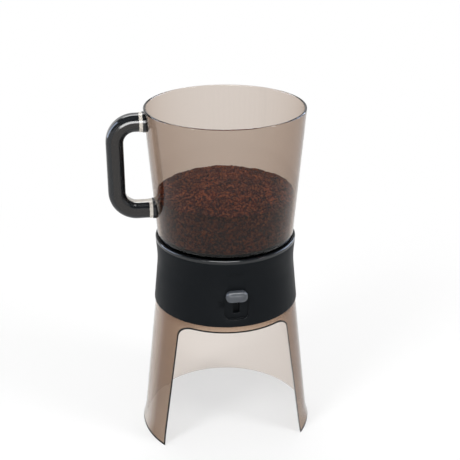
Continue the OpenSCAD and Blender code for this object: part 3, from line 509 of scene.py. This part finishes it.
def white_world():
    """A white horizon under a darker ceiling, the same to the eye, in gloss and through glass. Everything
    else takes a plain soft light from it."""
    world = bpy.data.worlds.new("white_studio")
    bpy.context.scene.world = world
    world.use_nodes = True
    tree = world.node_tree
    tree.nodes.clear()
    output = tree.nodes.new("ShaderNodeOutputWorld")
    toward = add_node(tree, "ShaderNodeSeparateXYZ",
                      {"Vector": add_node(tree, "ShaderNodeTexCoord").outputs["Generated"]})
    ceiling = add_node(tree, "ShaderNodeMapRange", {"Value": toward.outputs["Z"]},
                       interpolation_type="SMOOTHSTEP", From_Min=CEILING_FROM, From_Max=CEILING_TO,
                       To_Min=1.0, To_Max=CEILING_SHADE)
    white = add_node(tree, "ShaderNodeBackground", {"Strength": ceiling.outputs["Result"]}, Color=WHITE)
    light = add_node(tree, "ShaderNodeBackground", Color=WHITE, Strength=WORLD_LIGHT)
    shown = add_node(tree, "ShaderNodeMixShader",
                     {0: sees_background(tree), 1: light.outputs["Background"],
                      2: white.outputs["Background"]})
    surface(tree, output, shown.outputs["Shader"])


def pale_floor():
    """A floor that takes the object's shadow near it and fades to pure white with distance. Light bounces
    off it as off white paper."""
    bpy.ops.object.select_all(action="DESELECT")
    bpy.ops.mesh.primitive_plane_add(size=FLOOR_WIDTH, location=(0, 0, -FLOOR_GAP))
    floor = bpy.context.object
    floor.name = "floor"
    made, tree, output = new_material("pale_floor")
    place = add_node(tree, "ShaderNodeTexCoord")
    distance = add_node(tree, "ShaderNodeVectorMath", {0: place.outputs["Object"]}, operation="LENGTH")
    fade = add_node(tree, "ShaderNodeMapRange", {"Value": distance.outputs["Value"]},
                    interpolation_type="SMOOTHSTEP", From_Min=FADE_FROM, From_Max=FADE_TO,
                    To_Min=0.0, To_Max=1.0)
    paper = add_node(tree, "ShaderNodeBsdfDiffuse", Color=linear("#FBFAF9"))
    shadowed = add_node(tree, "ShaderNodeBsdfDiffuse", Color=(FLOOR_GREY, FLOOR_GREY, FLOOR_GREY, 1))
    glow = add_node(tree, "ShaderNodeEmission", Color=WHITE, Strength=FLOOR_GLOW)
    near = add_node(tree, "ShaderNodeAddShader",
                    {0: shadowed.outputs["BSDF"], 1: glow.outputs["Emission"]})
    far = add_node(tree, "ShaderNodeEmission", Color=WHITE, Strength=1.0)
    seen = add_node(tree, "ShaderNodeMixShader",
                    {0: fade.outputs["Result"], 1: near.outputs["Shader"], 2: far.outputs["Emission"]})
    shown = add_node(tree, "ShaderNodeMixShader",
                     {0: sees_background(tree), 1: paper.outputs["BSDF"], 2: seen.outputs["Shader"]})
    surface(tree, output, shown.outputs["Shader"])
    floor.data.materials.append(made)


def soft_box(name, place, size, watts, aim=MIDDLE, colour="#FFFFFF", gloss_only=False):
    """A flat studio lamp, width by height, that the eye doesn't see itself. Some show only as gloss."""
    lamp = bpy.data.lights.new(name, "AREA")
    lamp.shape = "RECTANGLE"
    lamp.size = size[0]
    lamp.size_y = size[1]
    lamp.energy = watts
    lamp.color = linear(colour)[:3]
    made = bpy.data.objects.new(name, lamp)
    bpy.context.scene.collection.objects.link(made)
    made.location = place
    made.rotation_euler = (Vector(aim) - Vector(place)).to_track_quat("-Z", "Y").to_euler()
    made.visible_camera = False
    made.visible_transmission = False
    made.visible_diffuse = not gloss_only


def studio():
    """White surroundings, a pale floor, three soft lamps and four more that only draw lines of gloss."""
    white_world()
    pale_floor()
    soft_box("left", place=(-0.95, -0.80, 1.20), size=(0.45, 0.70), watts=12)
    soft_box("right", place=(1.05, -0.70, 1.10), size=(0.45, 0.70), watts=10)
    soft_box("back", place=(0, 1.15, 1.25), size=(1.50, 0.35), watts=8)
    # cool panels on both sides draw the light lines on the rim of the stand and on the raised cup
    for side in (-1, 1):
        soft_box("side", place=(side * 1.15, 0.50, 0.75), size=(1.00, 1.00), watts=18,
                 colour="#D3E2FF", gloss_only=True)
    # a low strip in front lays the bright band across the knob and along the handle
    soft_box("front", place=(-0.25, -1.35, 0.36), size=(0.90, 0.16), watts=7,
             aim=(0, 0, 0.24), gloss_only=True)
    # one overhead in front lights the edge of the rim and the lower edge of the thumb recess
    soft_box("edge", place=(-0.15, -0.75, 1.45), size=(0.90, 0.35), watts=16, gloss_only=True)


def photo_camera():
    """The photograph's view: turned a little to the left of the front, looking down."""
    data = bpy.data.cameras.new("photo_camera")
    data.lens = CAMERA_LENS
    data.sensor_width = CAMERA_SENSOR
    camera = bpy.data.objects.new("photo_camera", data)
    bpy.context.scene.collection.objects.link(camera)
    outward = Vector((math.sin(CAMERA_TURN), -math.cos(CAMERA_TURN), 0))
    right = Vector((math.cos(CAMERA_TURN), math.sin(CAMERA_TURN), 0))
    up = Vector((0, 0, CAMERA_HEIGHT))
    camera.location = outward * CAMERA_DISTANCE + right * CAMERA_SIDE_STEP + up
    camera.rotation_euler = (math.pi / 2 - CAMERA_PITCH, 0, CAMERA_TURN)
    bpy.context.scene.camera = camera


# ---------------------------------------------------------------- the scene

dress_nodes()
soften_ring()
shortening_spring()
coffee_heap()
studio()
photo_camera()
bpy.context.scene.view_settings.view_transform = "Standard"
